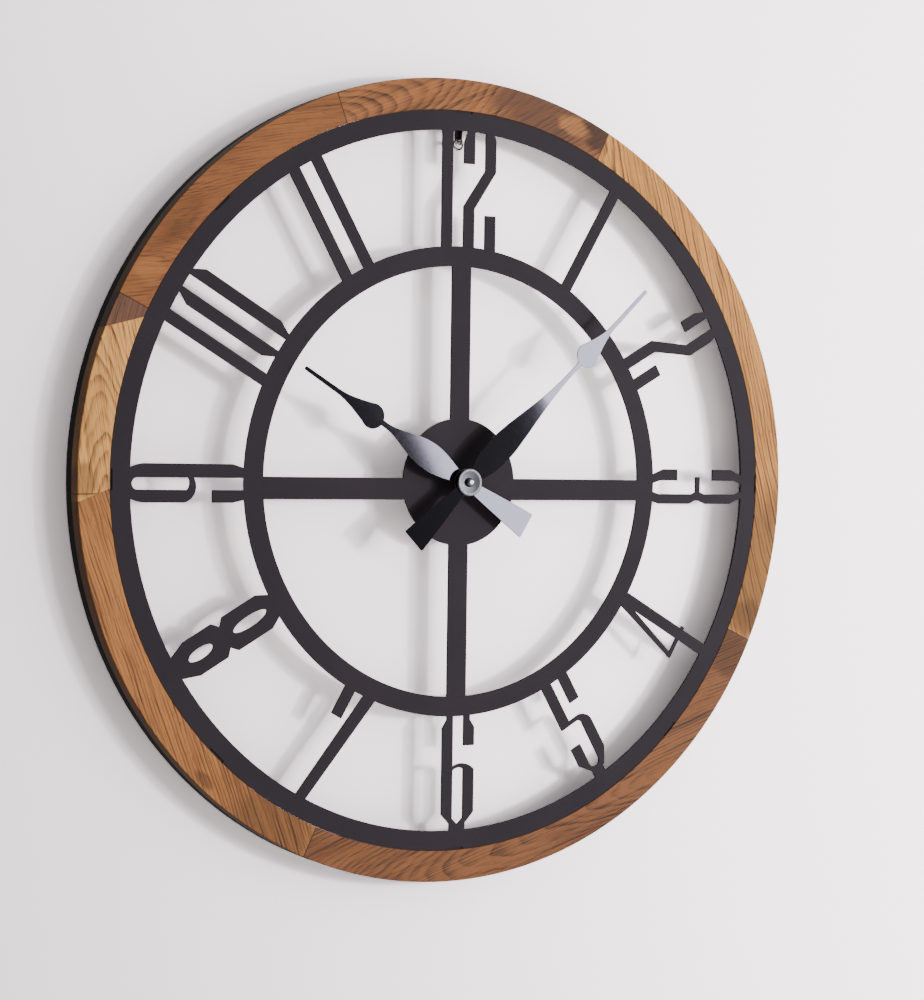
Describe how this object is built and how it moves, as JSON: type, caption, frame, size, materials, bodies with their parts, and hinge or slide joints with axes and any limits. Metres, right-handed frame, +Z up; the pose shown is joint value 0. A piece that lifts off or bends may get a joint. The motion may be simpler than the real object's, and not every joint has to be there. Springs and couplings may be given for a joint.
{
  "type": "skeleton wall clock",
  "caption": "Round skeleton wall clock: oiled wood rim, open cut-steel dial with angular block numerals, spade hands and a battery movement behind the hub.",
  "frame": {"origin": "the point on the wall plane where the nail enters, on the axis of the nail that carries the hanging ring", "axes": "+Z up the wall, -Y out of the wall towards the viewer (the dial faces -Y), +X to the right of someone facing the dial"},
  "size_m": [0.7, 0.0493, 0.6999],
  "materials": {
    "wood_golden": "satin oil",
    "wood_orange": "satin oil",
    "wood_brown": "satin oil",
    "wood_reddish": "satin oil",
    "wood_dark": "satin oil",
    "black_board": "matt black paint on plywood",
    "black_felt": "felt",
    "dial_paint": "fine black powder coat",
    "zinc_steel": "zinc plated",
    "bright_steel": "nickel plated",
    "case_plastic": "moulded",
    "black_rubber": "matt",
    "brass": "turned",
    "battery_jacket": "gloss jacket",
    "soft_iron": "stamped",
    "white_plastic": "moulded",
    "copper_wire": "enamelled wire",
    "green_board": "solder resist",
    "hand_enamel": "gloss black enamel",
    "silver_boss": "satin"
  },
  "bodies": {
    "clock": {"circuit_board": "green_board", "coil_bobbin": "white_plastic", "coil_core": "soft_iron", "coil_winding": "copper_wire", "contact_negative": "bright_steel", "contact_positive": "bright_steel", "dial_cross": "dial_paint", "dial_gasket": "black_rubber", "dial_inner_ring": "dial_paint", "dial_outer_ring": "dial_paint", "front_case": "case_plastic", "hanger_strap": "dial_paint", "hanging_ring": "bright_steel", "hex_nut": "brass", "lock_washer": "brass", "numeral_1": "dial_paint", "numeral_10": "dial_paint", "numeral_11": "dial_paint", "numeral_12": "dial_paint", "numeral_2": "dial_paint", "numeral_3": "dial_paint", "numeral_4": "dial_paint", "numeral_5": "dial_paint", "numeral_6": "dial_paint", "numeral_7": "dial_paint", "numeral_8": "dial_paint", "numeral_9": "dial_paint", "quartz_crystal": "bright_steel", "rear_cover": "case_plastic", "rear_ring_1": "black_board", "rear_ring_2": "black_board", "rear_ring_3": "black_board", "rear_ring_4": "black_board", "rim_screws": "zinc_steel", "rim_segment_1": "wood_golden", "rim_segment_2": "wood_reddish", "rim_segment_3": "wood_orange", "rim_segment_4": "wood_golden", "rim_segment_5": "wood_dark", "rim_segment_6": "wood_orange", "rim_segment_7": "wood_brown", "stator_plate": "soft_iron", "tab_screws": "zinc_steel", "wall_pads": "black_felt"},
    "minute": {"minute_hand": "hand_enamel", "minute_boss": "silver_boss", "cap_nut": "bright_steel", "minute_arbor": "white_plastic"},
    "hour": {"hour_hand": "hand_enamel", "hour_boss": "hand_enamel", "hour_wheel": "white_plastic"},
    "minute_wheel": {"minute_wheel": "white_plastic"},
    "setting_knob": {"setting_knob": "case_plastic"},
    "centre_wheel": {"centre_wheel": "white_plastic"},
    "third_wheel": {"third_wheel": "white_plastic"},
    "fourth_wheel": {"fourth_wheel": "white_plastic"},
    "fifth_wheel": {"fifth_wheel": "white_plastic"},
    "rotor": {"rotor": "white_plastic"},
    "battery": {"battery": "battery_jacket"}
  },
  "joints": [
    {"name": "minute_hand_turn", "type": "hinge", "parent": "clock", "child": "minute", "pos_m": [0, -0.036, -0.29655], "axis": [0, 1, 0], "continuous": true},
    {"name": "hour_hand_turn", "type": "hinge", "parent": "clock", "child": "hour", "pos_m": [0, -0.036, -0.29655], "axis": [0, 1, 0], "continuous": true},
    {"name": "minute_wheel_turn", "type": "hinge", "parent": "clock", "child": "minute_wheel", "pos_m": [-0.00636, -0.019, -0.29019], "axis": [0, 1, 0], "continuous": true},
    {"name": "setting_knob_turn", "type": "hinge", "parent": "clock", "child": "setting_knob", "pos_m": [-0.01506, -0.015, -0.28786], "axis": [0, 1, 0], "continuous": true},
    {"name": "seconds_wheel_turn", "type": "hinge", "parent": "clock", "child": "fourth_wheel", "pos_m": [0.01198, -0.016, -0.28876], "axis": [0, 1, 0], "continuous": true},
    {"name": "centre_wheel_turn", "type": "hinge", "parent": "clock", "child": "centre_wheel", "pos_m": [0, -0.013, -0.29655], "axis": [0, 1, 0], "continuous": true},
    {"name": "third_wheel_turn", "type": "hinge", "parent": "clock", "child": "third_wheel", "pos_m": [0.0045, -0.016, -0.28876], "axis": [0, 1, 0], "continuous": true},
    {"name": "fifth_wheel_turn", "type": "hinge", "parent": "clock", "child": "fifth_wheel", "pos_m": [0.0132, -0.016, -0.28186], "axis": [0, 1, 0], "continuous": true},
    {"name": "rotor_turn", "type": "hinge", "parent": "clock", "child": "rotor", "pos_m": [0.01195, -0.016, -0.27477], "axis": [0, 1, 0], "continuous": true},
    {"name": "battery_slide", "type": "slide", "parent": "clock", "child": "battery", "axis": [0, 1, 0], "range_m": [0, 0.03]}
  ],
  "couplings": [
    {"joint": "hour_hand_turn", "follows": "minute_hand_turn", "ratio": 0.083333},
    {"joint": "minute_wheel_turn", "follows": "minute_hand_turn", "ratio": -0.33333},
    {"joint": "setting_knob_turn", "follows": "minute_hand_turn", "ratio": 1},
    {"joint": "centre_wheel_turn", "follows": "seconds_wheel_turn", "ratio": 0.016667},
    {"joint": "third_wheel_turn", "follows": "seconds_wheel_turn", "ratio": -0.13333},
    {"joint": "fifth_wheel_turn", "follows": "seconds_wheel_turn", "ratio": -6},
    {"joint": "rotor_turn", "follows": "seconds_wheel_turn", "ratio": 30}
  ]
}
